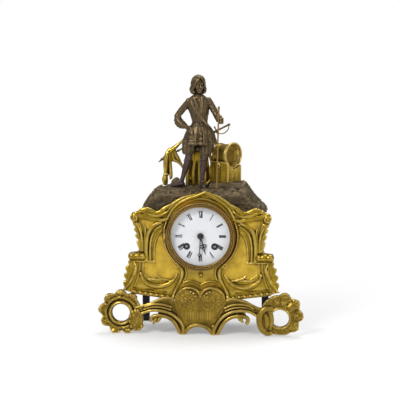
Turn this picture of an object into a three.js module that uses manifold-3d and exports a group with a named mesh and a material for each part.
// A figural table clock: a gilt rocaille case on shell feet, a bronzed rock with a standing cavalier and
// gilt trophies, and an eight-day striking movement behind a white dial.
// Millimetres, +Z up. The dial faces -Y and the origin lies under the middle of the clock, on the table.
import * as THREE from "three";
import { mergeVertices } from "three/addons/utils/BufferGeometryUtils.js";
import Module from "manifold-3d";

const wasm = await Module();
wasm.setup();

// Driving dimensions: fits
const GAP = 0.3;             // between pieces that touch
const RUNNING = 0.25;        // between an arbor and its hole

// Sides of round pieces
const ROUND = 32;            // dial, glass and openings
const RIM = 24;              // plates, rear ring and rear door
const BORE = 12;             // pipes and middle-sized holes
const SMALL = 8;             // screws, bolts and pivots

// Driving dimensions: case
const FRONT_Y = -44;         // front face of the case's front wall
const BACK_Y = 40;           // rear edge of the case's walls
const WALL = 5;              // thickness of the cast walls
const FRONT_WALL = 4;
const BACK_PANEL = 1.7;      // sheet that closes the back
const CASE_BOTTOM = 60;
const SKIRT_Z = 53;          // lower edge of the front's skirt, in its middle
const SIDE_INSET = 10;       // side walls inside the front's outline
const LOWER_HALF = 112;      // half width at the foot of the case
const LOWER_TOP_HALF = 103;  // half width under the roll
const NECK_HALF = 90;        // half width over the roll
const SHOULDER_HALF = 96;
const SHOULDER_Z = 176;
const ROLL_Z = 112;          // middle of the roll that caps the lower stage
const ROLL_RADIUS = 6;
const ROLL_HALF = 105;       // half width over the roll's ends
const KNOB_RADIUS = 9;       // shoulder knobs
const ARCH_MARGIN = 6;       // case wall round the movement's opening
const ARCH_BORDER = 11;      // front border round the same opening
const PEAK_X = 6;
const PEAK_Z = 208;          // tip of the front's pointed arch
const BOLT_INSET = 24;       // mound bolts inside the shoulders
const MOULDING = 5;          // radius of the front's arched mouldings
const ROLL_PROUD = 4;        // rolls and knobs before the front's face
const ROLL_ROUND = 4;        // rounding of a roll's end
const ROLL_TUCK = 6;         // roll inside the neck's outline
const KNOB_IN = 4;           // middle of a shoulder knob inside the shoulder
const LEAF_PROUD = 3;        // leaves before the front's face
const LEAF_DEPTH = 12;       // rolls, knobs and leaves behind the front's face
const GADROON = { x: 94, z: 63, across: 10.5, fall: 1.8, count: 5, radii: [5, 5, 4] };
const SKIRT_HALF = 50;       // half width of the skirt's level middle
const SKIRT_LAP = 10;        // skirt over the foot of the front
const SCROLL = 3.4;          // radius of the front's lower scrolls

// Driving dimensions: foot ornaments
const APRON_SETBACK = 1.7;   // apron behind the clock's foremost point
const SHELL_OUT = 4;         // middle of a shell foot's hole outside the case's foot
const SHELL_RADIUS = 29;
const SHELL_HOLE = 12.8;
const SHELL_LOBES = 11;
const SHELL_LOBE = 4;        // how far a lobe stands out
const KNOT_IN = 22.5;        // middle of a shell's knot inside that of its hole
const ARM_RADIUS = 6.5;
const LEAF_ARM_RADIUS = 3.6;
const REAR_FOOT_SET = 12;    // middle of a rear foot inside the side wall's face
const REAR_FOOT_SIZE = 10;
const REAR_FOOT_FLANGE = 5;  // thickness of the flange that it hangs by

// Driving dimensions: dial and bezels
const DIAL_Z = 144;
const SIGHT_RADIUS = 42.5;   // the part of the dial that shows
const DIAL_LAP = 0.7;        // dial under the bezel's lip
const DIAL_THICK = 1.5;
const DIAL_STEP = 3;         // dial in front of the case's front wall
const RING_WALL = 2.2;
const BEZEL_WIDTH = 7.3;
const BEZEL_DEPTH = 10;      // bezel's front before the dial
const GLASS_THICK = 1.2;
const LIP_THICK = 1.5;
const WINDING_X = 20.3;
const WINDING_Z = -15;       // below the dial's middle
const WINDING_HOLE = 4.3;
const HINGE_RADIUS = 2;
const HINGE_PIN = 0.8;
const HINGE_HALF = 10;       // half length of a hinge
const HINGE_SET = 4;         // bezel's hinge behind the clock's foremost point
const HINGE_LINK = 1.3;      // half thickness of a knuckle's link
const RING_STEP = 1.3;       // dial's ring before the dial
const GLASS_SEAT = 2.2;      // glass under the bezel's lip
const CENTRE_HOLE = 3.6;
const DIAL_FOOT = 1.5;       // radius of a dial foot
const LEAF_LAP = 1.5;        // hinge leaf over the ring that it is joined to
const BEZEL_EDGE = { sight: 1, lip: 1.5, round: 2, fall: 2.5 };
const DOOR_KNOB = { radius: 3.4, neck: 1.6, tip: 2.6, long: 4, belly: 2, place: 0.86 };
const DOOR_DOME = { high: 5, mid: 4, midRadius: 0.6, foot: 0.92 };

// Driving dimensions: movement
const PLATE_RADIUS = 40.5;
const PLATE_THICK = 2.5;
const PLATE_Y = -40;         // front face of the front plate
const PLATE_SPACE = 33.5;    // between the plates
const ARBOR = 1;
const PILLAR = 2.2;
const BARREL_RADIUS = 15.6;
const BARREL_WALL = 1.2;
const BARREL_HEIGHT = 18;
const BARREL_Y = 11.5;       // behind the front plate's back face
const WINDING_ARBOR = 2.2;
const WHEEL_THICK = 1.2;
const PINION_LONG = 3.2;
const ARBOR_SET = 0.8;       // an arbor's end inside a plate's outer face
const PENDULUM_LONG = 96;
const PENDULUM_Y = 9.5;      // behind the back plate
const BOB_RADIUS = 14;
const BELL_RADIUS = 27;
const BELL_X = 13;
const BELL_Z = -10;
const MINUTE_ANGLE = 183;    // degrees past twelve, at rest
const HOUR_ANGLE = MINUTE_ANGLE / 12 + 150;

// Driving dimensions: rock, figure and trophies
const ROCK_TOP = 210;
const FIGURE_X = -4;
const FIGURE_Y = -8;
const FIGURE_HIGH = 162.3;
const CANE_RADIUS = 1.1;
const STAFF_RADIUS = 1.9;
const LEDGE = 7;             // the rock's ledge under the strongbox, over its top
const LEDGE_RIM = 1.5;       // rock round the strongbox's corners
const ROCK_ROUND = 12;       // how far the rock rounds off to its back
const ROCK_ROUGH = 1.5;
const CHEST = { x: 36, y: 17, wide: 32, deep: 33, high: 30, seat: 19, turn: 56 };
const DRUM = { x: 35.3, y: 21.5, radius: 18.6, long: 33, turn: 54 };
const BOULDER = { x: -35.5, y: 9.5, wide: 8, deep: 5.5, high: 13 };

// From the middle to the foremost and the rearmost point
const HALF_DEPTH = DIAL_STEP - FRONT_Y + BEZEL_DEPTH;

// Shell feet beside the case's foot
const SHELL_X = LOWER_HALF + SHELL_OUT;
const KNOT_X = SHELL_X - KNOT_IN;

// Finishes
const finish = (color, roughness, metalness) => new THREE.MeshStandardMaterial({ color, roughness,
  metalness });
const GILT = finish(0xb98d2c, 0.35, 1);
const BRONZE = finish(0x4b3f2c, 0.45, 0.9);
const BRASS = finish(0xc9a24a, 0.3, 1);
const STEEL = finish(0x8a8d92, 0.3, 1);
const BLUED = finish(0x17181c, 0.35, 0.8);
const ENAMEL = finish(0xf2f2ee, 0.15, 0);
const IRON = finish(0x1b1915, 0.6, 0.6);
const CLEAR = new THREE.MeshStandardMaterial({ color: 0xffffff, roughness: 0.05, transparent: true,
  opacity: 0.2 });

// Solids from geometries, and joins and cuts between them
function solid(geometry) {
  const bare = new THREE.BufferGeometry().setIndex(geometry.index);
  bare.setAttribute("position", geometry.getAttribute("position"));
  const merged = mergeVertices(bare, 1e-4);
  const triVerts = new Uint32Array(merged.index.array);
  const make = () => new wasm.Manifold(new wasm.Mesh({
    numProp: 3, vertProperties: new Float32Array(merged.attributes.position.array), triVerts }));
  const made = make();
  if (made.volume() >= 0) return made;
  for (let i = 0; i < triVerts.length; i += 3) triVerts.subarray(i + 1, i + 3).reverse();
  return make();
}
const join = (first, ...rest) => rest.reduce((sum, next) => sum.add(next), first);
const cut = (first, ...rest) => rest.reduce((left, next) => left.subtract(next), first);

function piece(name, shape, material) {
  const data = shape.getMesh();
  const geometry = new THREE.BufferGeometry();
  geometry.setAttribute("position", new THREE.BufferAttribute(data.vertProperties, 3));
  geometry.setIndex(new THREE.BufferAttribute(data.triVerts, 1));
  geometry.computeVertexNormals();
  const mesh = new THREE.Mesh(geometry, material);
  mesh.name = name;
  return mesh;
}

// Shapes that everything is made of. A plan is a list of [x, z] points, seen from the front.
const mirrored = (points) => points.map(([x, z]) => [-x, z]).reverse();

function slab(plan, y0, y1, holes = []) {
  const shape = new THREE.Shape(plan.map(([x, z]) => new THREE.Vector2(x, z)));
  shape.holes = holes.map((hole) => new THREE.Path(hole.map(([x, z]) => new THREE.Vector2(x, z))));
  const geometry = new THREE.ExtrudeGeometry(shape, { depth: y1 - y0, bevelEnabled: false });
  return solid(geometry.rotateX(Math.PI / 2).translate(0, y1, 0));
}

function box(x0, x1, y0, y1, z0, z1) {
  const geometry = new THREE.BoxGeometry(x1 - x0, y1 - y0, z1 - z0);
  return solid(geometry.translate((x0 + x1) / 2, (y0 + y1) / 2, (z0 + z1) / 2));
}

function rod(radius, y0, y1, x = 0, z = 0, sides = SMALL) {
  return solid(new THREE.CylinderGeometry(radius, radius, y1 - y0, sides).translate(x, (y0 + y1) / 2, z));
}

function upright(radius, z0, z1, x, y, sides = SMALL) {
  const geometry = new THREE.CylinderGeometry(radius, radius, z1 - z0, sides).rotateX(Math.PI / 2);
  return solid(geometry.translate(x, y, (z0 + z1) / 2));
}

function turned(profile, sides = 28) {
  const points = [...profile, profile[0]].map(([r, y]) => new THREE.Vector2(r, y));
  return solid(new THREE.LatheGeometry(points, sides));
}

function circle(radius, sides, x = 0, z = 0) {
  return Array.from({ length: sides }, (_, i) => {
    const angle = (2 * Math.PI * i) / sides;
    return [x + radius * Math.cos(angle), z + radius * Math.sin(angle)];
  });
}

function ball(centre, radii, sides = 8, rings = 5) {
  return solid(new THREE.SphereGeometry(1, sides, rings).scale(...radii).translate(...centre));
}

// A closed skin over rings that all have as many points
function skin(rings) {
  const count = rings[0].length;
  const middle = (ring) => ring.reduce((sum, p) => sum.map((v, k) => v + p[k] / count), [0, 0, 0]);
  const positions = [...rings.flat(), middle(rings[0]), middle(rings.at(-1))].flat();
  const first = rings.length * count;
  const last = (rings.length - 1) * count;
  const index = [];
  for (let i = 0; i < count; i++) {
    const j = (i + 1) % count;
    for (let base = 0; base < last; base += count) {
      index.push(base + i, base + j, base + count + j, base + i, base + count + j, base + count + i);
    }
    index.push(first, j, i, first + 1, last + i, last + j);
  }
  const geometry = new THREE.BufferGeometry();
  geometry.setAttribute("position", new THREE.Float32BufferAttribute(positions, 3));
  geometry.setIndex(index);
  return solid(geometry);
}

// A level oval ring, and a tube of changing radius along a smooth line
function oval([x, y, z], rx, ry, sides = 8) {
  return circle(1, sides).map(([c, s]) => [x + rx * c, y + ry * s, z]);
}

function tube(points, radii, { sides = 6, steps = points.length + 1, flat = 1 } = {}) {
  const curve = new THREE.CatmullRomCurve3(points.map((p) => new THREE.Vector3(...p)));
  const frames = curve.computeFrenetFrames(steps, false);
  const radiusAt = (t) => {
    const place = t * (radii.length - 1);
    const low = Math.min(Math.floor(place), radii.length - 2);
    return THREE.MathUtils.lerp(radii[low], radii[low + 1], place - low);
  };
  return skin(Array.from({ length: steps + 1 }, (_, i) => {
    const centre = curve.getPointAt(i / steps);
    const radius = radiusAt(i / steps);
    return circle(radius, sides).map(([c, s]) => centre.clone()
      .addScaledVector(frames.normals[i], c).addScaledVector(frames.binormals[i], s * flat).toArray());
  }));
}

// A scroll on an upright face: a tube whose line lies in the plane at depth y
const scroll = (plan, y, radii) => tube(plan.map(([x, z]) => [x, y, z]), radii, { sides: 5 });

// Case body
const DIAL_RADIUS = SIGHT_RADIUS + DIAL_LAP;
const OPENING_RADIUS = DIAL_RADIUS + GAP + RING_WALL + GAP;
const ARCH_RADIUS = OPENING_RADIUS + ARCH_MARGIN;

function archPlan(radius, level) {
  const start = Math.asin((level - DIAL_Z) / radius);
  const steps = 10;
  return Array.from({ length: steps + 1 }, (_, i) => {
    const angle = start + ((Math.PI - 2 * start) * i) / steps;
    return [radius * Math.cos(angle), DIAL_Z + radius * Math.sin(angle)];
  });
}

// The case seen from the front: its walls, or with no side inset the outline of its front
function casePlan(inset, bottom = CASE_BOTTOM, sideInset = SIDE_INSET) {
  const narrow = inset + sideInset;
  const side = [
    [LOWER_HALF - narrow, bottom],
    [LOWER_TOP_HALF - narrow, ROLL_Z],
    [NECK_HALF - narrow, ROLL_Z + ROLL_RADIUS],
    [SHOULDER_HALF - narrow, SHOULDER_Z - KNOB_RADIUS * 2],
    [SHOULDER_HALF - narrow, SHOULDER_Z - inset],
  ];
  return [...side, ...archPlan(ARCH_RADIUS - inset, SHOULDER_Z - inset), ...mirrored(side)];
}

const LOWER_LEAF = [[98, 104], [109, 103], [106, 97], [113, 92], [109, 87], [115, 81], [112, 75], [115, 67],
  [98, 67]];
const UPPER_LEAF = [[86, 120], [91, 130], [97, 144], [94, 146], [100, 153], [95, 157], [86, 160]];
const ARCH_LINE = [[78, 110], [79, 128], [77, 144], [70.5, 157], [60, 164]];
const SHOULDER_LINE = [[96, 169], [84, 168.5], [70, 167], [60, 169]];
const S_SCROLL = [[36, 103], [30, 97], [27, 86], [31, 71], [39, 56]];
const LEAF_SCROLL = [[87, 85], [82, 74], [71, 67.5], [56, 69], [44, 76]];
const BORDER_SCROLL = [[88, 177], [76, 171], [62, 172], [50, 180]];
const SHOULDER_RADII = [3, 2.5, 2.5];
const BORDER_RADII = [2, 3, 2];
const KNOB_SIDES = 9;

function caseOrnament() {
  const y = FRONT_Y;
  const rollInner = NECK_HALF - ROLL_TUCK;
  const rollOuter = ROLL_HALF - ROLL_ROUND;
  const roll = [
    [rollInner, ROLL_Z - ROLL_RADIUS],
    [rollOuter, ROLL_Z - ROLL_RADIUS],
    [ROLL_HALF, ROLL_Z],
    [rollOuter, ROLL_Z + ROLL_RADIUS],
    [rollInner, ROLL_Z + ROLL_RADIUS],
  ];
  const knob = circle(KNOB_RADIUS, KNOB_SIDES, SHOULDER_HALF - KNOB_IN, SHOULDER_Z - KNOB_RADIUS);
  const gadroon = Array.from({ length: GADROON.count }, (_, i) =>
    [GADROON.x - GADROON.across * i, GADROON.z - GADROON.fall * i]);
  const right = (plan) => plan;
  return [right, mirrored].flatMap((side) => [
    slab(side(roll), y - ROLL_PROUD, y + LEAF_DEPTH),
    slab(side(knob), y - ROLL_PROUD, y + LEAF_DEPTH),
    slab(side(LOWER_LEAF), y - LEAF_PROUD, y + LEAF_DEPTH),
    slab(side(UPPER_LEAF), y - LEAF_PROUD, y + LEAF_DEPTH),
    scroll(side(ARCH_LINE), y, [MOULDING, MOULDING, MOULDING * 0.8]),
    scroll(side(SHOULDER_LINE), y, SHOULDER_RADII),
    scroll(side(S_SCROLL), y, [SCROLL, SCROLL * 0.8, SCROLL]),
    scroll(side(LEAF_SCROLL), y, [SCROLL * 0.7, SCROLL * 1.4, SCROLL]),
    scroll(side(BORDER_SCROLL), y, BORDER_RADII),
    ...side(gadroon).map(([x, z]) => ball([x, y, z], GADROON.radii, 5, 4)),
  ]);
}

const BOLT = { x: SHOULDER_HALF - BOLT_INSET, y: 0, radius: 2, head: 4, headHigh: 3.5, reach: 12 };
const PAST = 1;              // cutters past the faces that they cut
const GRIP = 0.5;            // a head's face over its shank's end

function caseBody() {
  const frontBack = FRONT_Y + FRONT_WALL;
  const room = slab(casePlan(WALL, -PAST), frontBack, BACK_Y + PAST);
  const shell = cut(slab(casePlan(0), FRONT_Y, BACK_Y), room);
  const face = slab(casePlan(0, CASE_BOTTOM, 0), FRONT_Y, frontBack);
  const border = archPlan(OPENING_RADIUS + ARCH_BORDER, SHOULDER_Z);
  const tip = Math.floor(border.length / 2);
  const pointed = [...border.slice(0, tip), [PEAK_X, PEAK_Z], ...border.slice(tip + 1)];
  const peak = slab(pointed, FRONT_Y, frontBack);
  const skirtTop = CASE_BOTTOM + SKIRT_LAP;
  const skirt = slab([
    [-LOWER_HALF, CASE_BOTTOM],
    [-SKIRT_HALF, SKIRT_Z],
    [SKIRT_HALF, SKIRT_Z],
    [LOWER_HALF, CASE_BOTTOM],
    [LOWER_HALF, skirtTop],
    [-LOWER_HALF, skirtTop],
  ], FRONT_Y, frontBack);
  const grown = HEART.map(([x, z]) => [x * SEAT_GROWTH, HEART_MID_Z + (z - HEART_MID_Z) * SEAT_GROWTH]);
  const apronSeat = slab(grown, -HALF_DEPTH, FRONT_Y);
  const boltHoles = [-1, 1].map((s) =>
    upright(BOLT.radius + GAP, SHOULDER_Z - 2 * WALL, SHOULDER_Z + PAST, s * BOLT.x, BOLT.y));
  return cut(join(shell, face, peak, skirt, ...caseOrnament()), apronSeat,
    rod(OPENING_RADIUS, FRONT_Y - 2 * MOULDING, FRONT_Y + 2 * FRONT_WALL, 0, DIAL_Z, ROUND),
    room, box(-LOWER_HALF * 2, LOWER_HALF * 2, frontBack, BACK_Y + PAST, -PAST, CASE_BOTTOM), ...boltHoles);
}

function caseBack() {
  return slab(casePlan(0), BACK_Y + GAP, BACK_Y + GAP + BACK_PANEL,
    [circle(OPENING_RADIUS, ROUND, 0, DIAL_Z)]);
}

function moundBolts() {
  const inner = SHOULDER_Z - WALL - GAP;
  const foot = inner - BOLT.headHigh;
  return [-1, 1].map((s) => join(
    upright(BOLT.radius, foot + GRIP, SHOULDER_Z + BOLT.reach, s * BOLT.x, BOLT.y),
    upright(BOLT.head, foot, inner, s * BOLT.x, BOLT.y, 6)));
}

// Foot ornaments in front of the case's lower edge
const APRON_BACK = FRONT_Y - GAP;
const APRON_FRONT = APRON_SETBACK - HALF_DEPTH;
const APRON_DEPTH = APRON_BACK - APRON_FRONT;
const APRON_MID = (APRON_BACK + APRON_FRONT) / 2;
const SEAT_GROWTH = 1.04;    // room for the apron's heart in the case's front
const HEART_MID_Z = 36;
const FOOT_LEFT_X = -25;
const FOOT_RIGHT_X = 19;
const FOOT_HALF = 4;
const HEART = [[FOOT_LEFT_X - FOOT_HALF, 0], [FOOT_LEFT_X + FOOT_HALF, 0], [-14, 10], [-3, 13.5], [8, 10],
  [FOOT_RIGHT_X - FOOT_HALF, 0], [FOOT_RIGHT_X + FOOT_HALF, 0], [28, 24], [36, 44], [33, 62], [18, 72],
  [0, 66], [-18, 72], [-33, 62], [-38, 44], [-32, 24]];

// An arm and the leaf under it run from beside the knot, counted from the clock's middle,
// to the foot, counted from the foot's middle
const ARM_LINE = [[KNOT_X - 6, 35], [76, 44], [60, 45], [46, 38]];
const ARM_END = [[12, 24], [5, 9], [0, ARM_RADIUS - 1]];
const LEAF_LINE = [[73, 20], [64, 26], [52, 25.5]];
const LEAF_END = [[17, 18], [6, 5]];

function footArms(x, side) {
  const line = (points) => points.map(([u, z]) => [side * u, z]);
  const end = (points) => points.map(([u, z]) => [x + side * u, z]);
  const arm = [...line(ARM_LINE), ...end(ARM_END)];
  const leaf = [...line(LEAF_LINE), ...end(LEAF_END)];
  return [scroll(arm, APRON_MID, [ARM_RADIUS, ARM_RADIUS, ARM_RADIUS * 0.8]),
    scroll(leaf, APRON_MID, [LEAF_ARM_RADIUS * 1.3, LEAF_ARM_RADIUS, LEAF_ARM_RADIUS])];
}

const HEART_SET = 0.18;      // heart's face behind the apron's front, of its depth
const HEART_LOBE = { x: 16, z: 56, wide: 15, high: 14, middle: 0.27, deep: 0.36 };

function baseApron() {
  const floor = box(-LOWER_HALF, LOWER_HALF, APRON_FRONT * 2, 0, -3 * ARM_RADIUS, 0);
  const lobeAt = APRON_FRONT + APRON_DEPTH * HEART_LOBE.middle;
  const lobeRadii = [HEART_LOBE.wide, APRON_DEPTH * HEART_LOBE.deep, HEART_LOBE.high];
  const lobes = [-HEART_LOBE.x, HEART_LOBE.x].map((x) => ball([x, lobeAt, HEART_LOBE.z], lobeRadii, 8, 5));
  const grown = join(slab(HEART, APRON_FRONT + APRON_DEPTH * HEART_SET, APRON_BACK), ...lobes,
    ...footArms(FOOT_LEFT_X, -1), ...footArms(FOOT_RIGHT_X, 1));
  const shells = [shellSolid(-1, LEFT_SHELL, GAP), shellSolid(1, RIGHT_SHELL, GAP)];
  return cut(grown, floor, ...shells, box(-LOWER_HALF, LOWER_HALF, APRON_BACK, 0, -PAST, SHOULDER_Z));
}

// A scalloped shell with a round hole, and the knot that ties it to the apron
const LEFT_SHELL = { holeZ: 30, middleZ: 31, knotZ: 20, knotHigh: 17 };
const RIGHT_SHELL = { holeZ: 26, middleZ: 31, knotZ: 21, knotHigh: 21 };
const KNOT_HALF = 11;
const SHELL_FACE = 0.6;      // radius of the shell's front, of its full radius
const SHELL_BEVEL = 4;
const SHELL_BELLY = 0.55;    // where the shell is widest, of the apron's depth
const SHELL_UNDERCUT = 2;
const HOLE_SIDES = 14;

function shellSolid(side, { middleZ, knotZ, knotHigh }, grow = 0) {
  const x = side * SHELL_X;
  const rim = 2 * SHELL_LOBES;
  const ring = (radius, lobe, y) => Array.from({ length: rim }, (_, i) => {
    const angle = (2 * Math.PI * i) / rim;
    const reach = radius + lobe * ((i + 1) % 2) + grow;
    return [x + side * reach * Math.cos(angle), y, middleZ + reach * Math.sin(angle)];
  });
  const deep = (share) => APRON_FRONT + APRON_DEPTH * share;
  const shell = skin([
    ring(SHELL_RADIUS * SHELL_FACE, 0, deep(0) - grow),
    ring(SHELL_RADIUS - SHELL_BEVEL, SHELL_LOBE / 2, deep(HEART_SET) - grow),
    ring(SHELL_RADIUS, SHELL_LOBE, deep(SHELL_BELLY) - grow),
    ring(SHELL_RADIUS - SHELL_UNDERCUT, SHELL_LOBE, deep(1) + grow),
  ]);
  const half = (HALF_DEPTH + APRON_BACK) / 2;
  const knot = ball([side * KNOT_X, APRON_BACK - half, knotZ],
    [KNOT_HALF + grow, half + grow, knotHigh + grow], 8, 6);
  return join(shell, knot);
}

function shellFoot(side, sizes) {
  const x = side * SHELL_X;
  const hole = rod(SHELL_HOLE, -HALF_DEPTH, 0, x, sizes.holeZ, HOLE_SIDES);
  const span = [x - 2 * SHELL_RADIUS, x + 2 * SHELL_RADIUS];
  return cut(shellSolid(side, sizes), hole, box(...span, -HALF_DEPTH - PAST, 0, -SHELL_RADIUS, 0),
    box(...span, APRON_BACK, 0, -PAST, SHOULDER_Z));
}

function rearFoot(side) {
  const half = REAR_FOOT_SIZE / 2;
  const wall = LOWER_HALF - SIDE_INSET;
  const x = side * (wall - REAR_FOOT_SET);
  const top = CASE_BOTTOM - GAP;
  const span = [x - side * half, side * wall].sort((a, b) => a - b);
  const front = BACK_Y - REAR_FOOT_SIZE;
  return join(box(x - half, x + half, front, BACK_Y, 0, top),
    box(...span, front, BACK_Y, top - REAR_FOOT_FLANGE, top));
}

// Dial, its ring, the hinged bezel and the hinged rear door, all round the dial's middle
const DIAL_FRONT = FRONT_Y - DIAL_STEP;
const RING_INNER = DIAL_RADIUS + GAP;
const RING_OUTER = OPENING_RADIUS - GAP;
const BEZEL_RADIUS = SIGHT_RADIUS + BEZEL_WIDTH;
const RING_FRONT = DIAL_FRONT - RING_STEP;
const HINGE_X = BEZEL_RADIUS + HINGE_RADIUS;
const GLASS_FRONT = -HALF_DEPTH + LIP_THICK + GAP;
const BEZEL_HINGE_Y = -HALF_DEPTH + HINGE_SET;

function dial() {
  const winding = [WINDING_X, -WINDING_X].map((x) => circle(WINDING_HOLE, BORE, x, WINDING_Z));
  const holes = [circle(CENTRE_HOLE, BORE), ...winding];
  const feet = DIAL_FEET.map((at) => rod(DIAL_FOOT, DIAL_FRONT + DIAL_THICK / 2, PLATE_Y - GAP, ...at, 6));
  return join(slab(circle(DIAL_RADIUS, ROUND), DIAL_FRONT, DIAL_FRONT + DIAL_THICK, holes), ...feet);
}

// Three knuckles on one pin: the middle one belongs to the fixed ring, the outer two to what swings
function knuckle(x, y, z0, z1) {
  return upright(HINGE_RADIUS, z0, z1, x, y);
}
const pinHole = (x, y) => upright(HINGE_PIN + RUNNING, -2 * HINGE_HALF, 2 * HINGE_HALF, x, y);
const KNUCKLE = HINGE_HALF * 0.4;

function dialRing() {
  const ring = turned([[RING_INNER, RING_FRONT], [BEZEL_RADIUS - GAP, RING_FRONT],
    [BEZEL_RADIUS - GAP, FRONT_Y - GAP],
    [RING_OUTER, FRONT_Y - GAP], [RING_OUTER, FRONT_Y + FRONT_WALL], [RING_INNER, FRONT_Y + FRONT_WALL]]);
  const x = -HINGE_X;
  const bracket = join(
    box(x - LEAF_LAP, x + HINGE_RADIUS - 2 * GAP, BEZEL_HINGE_Y, FRONT_Y - 2 * GAP, -KNUCKLE, KNUCKLE),
    box(x, x + HINGE_RADIUS + LEAF_LAP, RING_FRONT, FRONT_Y - 2 * GAP, -KNUCKLE, KNUCKLE),
    knuckle(x, BEZEL_HINGE_Y, -KNUCKLE, KNUCKLE));
  return cut(join(ring, bracket), pinHole(x, BEZEL_HINGE_Y));
}

function swingKnuckles(x, y, reach) {
  return [-1, 1].flatMap((s) => {
    const ends = [s * (KNUCKLE + GAP), s * HINGE_HALF].sort((a, b) => a - b);
    const link = [x, x + reach].sort((a, b) => a - b);
    return [knuckle(x, y, ...ends), box(...link, y - HINGE_LINK, y + HINGE_LINK, ...ends)];
  });
}

function frontBezel() {
  const back = RING_FRONT - GAP;
  const seat = SIGHT_RADIUS + GLASS_SEAT;
  const ring = turned([
    [SIGHT_RADIUS, -HALF_DEPTH + BEZEL_EDGE.sight],
    [SIGHT_RADIUS + BEZEL_EDGE.lip, -HALF_DEPTH],
    [BEZEL_RADIUS - BEZEL_EDGE.round, -HALF_DEPTH],
    [BEZEL_RADIUS, -HALF_DEPTH + BEZEL_EDGE.fall],
    [BEZEL_RADIUS, back],
    [seat, back],
    [seat, GLASS_FRONT - GAP],
    [SIGHT_RADIUS, GLASS_FRONT - GAP],
  ]);
  return cut(join(ring, ...swingKnuckles(-HINGE_X, BEZEL_HINGE_Y, HINGE_RADIUS + 2)),
    pinHole(-HINGE_X, BEZEL_HINGE_Y));
}

const dialGlass = () => rod(SIGHT_RADIUS + GLASS_SEAT - GAP, GLASS_FRONT, GLASS_FRONT + GLASS_THICK, 0, 0,
  ROUND);
const hingePin = (x, y) => upright(HINGE_PIN, -HINGE_HALF - GRIP, HINGE_HALF + GRIP, x, y);

const REAR_Y = BACK_Y + GAP + BACK_PANEL + GAP;      // seat of the rear ring
const REAR_RING = 2.7;
const DOOR_Y = REAR_Y + REAR_RING + GAP;
const DOOR_THICK = 1.5;
const DOOR_HINGE_STEP = 1.2; // door's hinge behind its inner face
const DOOR_HINGE_Y = DOOR_Y + DOOR_HINGE_STEP;
const REAR_FLANGE = 1.5;     // thin inner part of the rear ring
const REAR_LAP = 2;          // rear ring inside the dial ring's bore

function rearRing() {
  const inner = RING_INNER - REAR_LAP;
  const step = RING_OUTER + REAR_FLANGE;
  const x = HINGE_X;
  const ring = turned([
    [inner, REAR_Y],
    [BEZEL_RADIUS, REAR_Y],
    [BEZEL_RADIUS, REAR_Y + REAR_RING],
    [step, REAR_Y + REAR_RING],
    [step, REAR_Y + REAR_FLANGE],
    [inner, REAR_Y + REAR_FLANGE],
  ], RIM);
  const bracket = join(
    box(x - HINGE_RADIUS - LEAF_LAP, x + HINGE_RADIUS / 2, REAR_Y, REAR_Y + REAR_RING, -KNUCKLE, KNUCKLE),
    knuckle(x, DOOR_HINGE_Y, -KNUCKLE, KNUCKLE));
  const holes = [-1, 1].map((s) => rod(SCREW + RUNNING, REAR_Y - PAST, REAR_Y + REAR_RING, s * SCREW_X, 0));
  return cut(join(ring, bracket), pinHole(x, DOOR_HINGE_Y), ...holes);
}

function rearDoor() {
  const rim = BEZEL_RADIUS - HINGE_RADIUS / 2;
  const dome = turned([
    [0, DOOR_Y + DOOR_DOME.high],
    [rim * DOOR_DOME.midRadius, DOOR_Y + DOOR_DOME.mid],
    [rim * DOOR_DOME.foot, DOOR_Y + DOOR_THICK],
    [rim, DOOR_Y + DOOR_THICK],
    [rim, DOOR_Y],
    [0, DOOR_Y],
  ], RIM);
  const knob = turned([
    [0, DOOR_Y + PAST],
    [DOOR_KNOB.neck, DOOR_Y + PAST],
    [DOOR_KNOB.neck, HALF_DEPTH - DOOR_KNOB.long],
    [DOOR_KNOB.radius, HALF_DEPTH - DOOR_KNOB.belly],
    [DOOR_KNOB.tip, HALF_DEPTH],
    [0, HALF_DEPTH],
  ], SMALL);
  const knuckles = swingKnuckles(HINGE_X, DOOR_HINGE_Y, -HINGE_RADIUS - 2 * LEAF_LAP);
  const door = join(dome, knob.translate([-rim * DOOR_KNOB.place, 0, 0]), ...knuckles);
  return cut(door, pinHole(HINGE_X, DOOR_HINGE_Y));
}

// Two straps draw the dial's ring and the rear ring together through the case
const STRAP_THICK = 1.6;
const STRAP_HALF = 4;
const SCREW = 0.8;
const SCREW_HEAD = 1.9;      // radius of a screw's head, of its shank's
const STRAP_FOOT = { long: 4, deep: 3 };
const STRAP_IN = 0.4;        // strap inside the opening
const STRAP_X = RING_OUTER - STRAP_IN;
const SCREW_IN = 1.2;        // screw inside the strap's middle
const SCREW_X = STRAP_X - STRAP_THICK / 2 - SCREW_IN;

function straps() {
  return [-1, 1].map((s) => {
    const ends = (a, b) => [s * a, s * b].sort((p, q) => p - q);
    const back = REAR_Y - GAP;
    const wide = ends(STRAP_X - STRAP_THICK, STRAP_X);
    const bar = box(...wide, FRONT_Y + FRONT_WALL + GAP, back, -STRAP_HALF, STRAP_HALF);
    const footWide = ends(STRAP_X - STRAP_FOOT.long, STRAP_X);
    const foot = box(...footWide, back - STRAP_FOOT.deep, back, -STRAP_HALF, STRAP_HALF);
    return cut(join(bar, foot), rod(SCREW + RUNNING, back - STRAP_FOOT.deep - PAST, REAR_Y, s * SCREW_X,
      0));
  });
}

function strapScrews() {
  return [-1, 1].map((s) => join(
    rod(SCREW, REAR_Y - STRAP_FOOT.deep, REAR_Y + REAR_FLANGE + GRIP, s * SCREW_X, 0),
    rod(SCREW * SCREW_HEAD, REAR_Y + REAR_FLANGE + GAP / 2, REAR_Y + REAR_RING, s * SCREW_X, 0)));
}

// Gear train. A wheel has pointed teeth, and each wheel's first tooth is turned
// to fall in its neighbour's gap.
const ADDENDUM = 0.7;        // of the module
const DEDENDUM = 1.1;

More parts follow.
